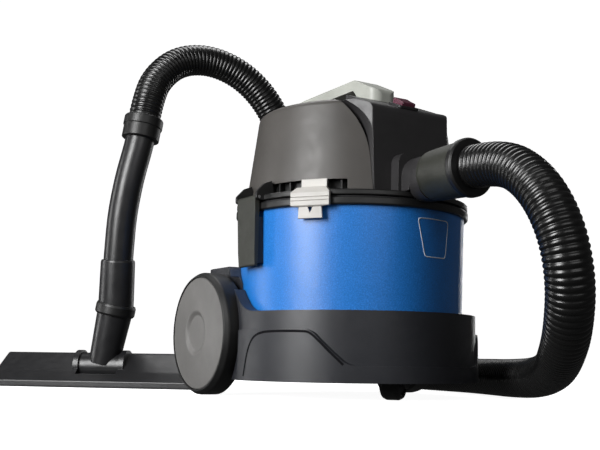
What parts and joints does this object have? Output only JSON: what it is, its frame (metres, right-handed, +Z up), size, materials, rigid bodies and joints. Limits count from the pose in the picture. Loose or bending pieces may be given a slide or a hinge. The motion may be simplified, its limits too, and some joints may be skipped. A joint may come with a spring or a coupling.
{
  "type": "shop vacuum",
  "caption": "Round-tank wet and dry vacuum on a wheeled base, with a lift-off motor head, carry handle, ribbed hose, curved wand and floor nozzle.",
  "frame": {"origin": "on the floor, under the middle of the bounding box of the machine with its wand and floor nozzle, the hose and its cuffs left out", "axes": "+Z up, the front of the machine with the hose inlet faces -Y, the machine's right side is -X"},
  "size_m": [0.522, 0.7631, 0.4684],
  "materials": {
    "tank_blue": "satin speckled",
    "base_charcoal": "fine grained",
    "head_grey": "satin grained",
    "fascia_dark": "satin grained",
    "black_plastic": "satin",
    "tyre_black": "matte",
    "disc_grey": "satin",
    "handle_grey": "satin",
    "clip_grey": "satin",
    "latch_olive": "satin",
    "switch_maroon": "gloss",
    "hose_black": "gloss ribbed",
    "steel": "brushed",
    "lamination": "laminated",
    "filter_paper": "pleated",
    "seal_rubber": "matte",
    "float_white": "satin",
    "strip_rubber": "matte"
  },
  "bodies": {
    "base": {"tank": "tank_blue", "tank_rim": "black_plastic", "lid_gasket": "seal_rubber", "base_skirt": "base_charcoal", "base_screws": "steel", "axle_right": "steel", "axle_left": "steel", "latch_seat_right": "black_plastic", "latch_seat_left": "black_plastic"},
    "wheel_right": {"wheel_right_tyre": "tyre_black", "wheel_right_disc": "disc_grey"},
    "wheel_left": {"wheel_left_tyre": "tyre_black", "wheel_left_disc": "disc_grey"},
    "caster_swivel": {"caster_fork": "black_plastic", "caster_axle": "steel"},
    "caster_roller": {"caster_wheel": "tyre_black"},
    "head": {"head_shell": "head_grey", "front_fascia": "fascia_dark", "inlet_boss": "fascia_dark", "head_flange": "black_plastic", "motor_deck": "black_plastic", "vent_grille_right": "black_plastic", "vent_grille_left": "black_plastic", "fan_housing": "black_plastic", "motor_can": "steel", "motor_stator": "lamination", "bearing_low": "steel", "bearing_high": "steel", "filter_top_ring": "seal_rubber", "filter_element": "filter_paper", "filter_end_cap": "black_plastic", "float_cage": "black_plastic", "inlet_elbow": "black_plastic", "cord_gland": "black_plastic", "carry_handle": "handle_grey", "switch_bezel": "fascia_dark", "latch_pin_right": "steel", "latch_pin_left": "steel", "side_clip_right": "clip_grey", "side_clip_left": "clip_grey", "suction_hose": "hose_black", "hose_cuff": "latch_olive", "cuff_collar": "black_plastic", "hose_end_collar": "black_plastic", "curved_wand": "black_plastic", "wand_sleeve": "black_plastic", "swivel_collar": "black_plastic"},
    "rotor": {"fan_wheel": "steel", "motor_armature": "lamination", "motor_shaft": "steel"},
    "float": {"float_ball": "float_white"},
    "switch": {"switch_rocker": "switch_maroon"},
    "latch_r": {"latch_right": "latch_olive"},
    "latch_l": {"latch_left": "latch_olive"},
    "neck": {"nozzle_neck": "black_plastic"},
    "nozzle": {"nozzle_body": "black_plastic", "nozzle_strips": "strip_rubber"}
  },
  "joints": [
    {"name": "head_lift", "type": "slide", "parent": "base", "child": "head", "axis": [0, 0, 1], "range_m": [0, 0.18]},
    {"name": "wheel_right_spin", "type": "hinge", "parent": "base", "child": "wheel_right", "pos_m": [-0.06468, -0.06284, 0.0665], "axis": [1, 0, 0], "continuous": true},
    {"name": "wheel_left_spin", "type": "hinge", "parent": "base", "child": "wheel_left", "pos_m": [0.20532, -0.06284, 0.0665], "axis": [1, 0, 0], "continuous": true},
    {"name": "caster_turn", "type": "hinge", "parent": "base", "child": "caster_swivel", "pos_m": [0.07032, -0.22384, 0.05], "axis": [0, 0, 1], "continuous": true},
    {"name": "caster_roll", "type": "hinge", "parent": "caster_swivel", "child": "caster_roller", "pos_m": [0.06086, -0.23123, 0.024], "axis": [-0.6157, 0.788, 0], "continuous": true},
    {"name": "rotor_spin", "type": "hinge", "parent": "head", "child": "rotor", "pos_m": [0.07032, -0.14184, 0.25], "axis": [0, 0, 1], "continuous": true},
    {"name": "float_rise", "type": "slide", "parent": "head", "child": "float", "axis": [0, 0, 1], "range_m": [0, 0.045]},
    {"name": "switch_rock", "type": "hinge", "parent": "head", "child": "switch", "pos_m": [0.07032, -0.23584, 0.30538], "axis": [1, 0, 0], "range_deg": [-10, 0]},
    {"name": "latch_right_swing", "type": "hinge", "parent": "head", "child": "latch_r", "pos_m": [-0.06238, -0.14184, 0.206], "axis": [0, 1, 0], "range_deg": [0, 60]},
    {"name": "latch_left_swing", "type": "hinge", "parent": "head", "child": "latch_l", "pos_m": [0.20302, -0.14184, 0.206], "axis": [0, -1, 0], "range_deg": [0, 60]},
    {"name": "neck_swivel", "type": "hinge", "parent": "head", "child": "neck", "pos_m": [-0.08929, 0.16434, 0.09254], "axis": [-0.1048, 0.1979, -0.9746], "range_deg": [-90, 15]},
    {"name": "nozzle_tilt", "type": "hinge", "parent": "neck", "child": "nozzle", "pos_m": [-0.09634, 0.17765, 0.027], "axis": [0.7431, -0.6691, 0], "range_deg": [-12, 15]}
  ]
}
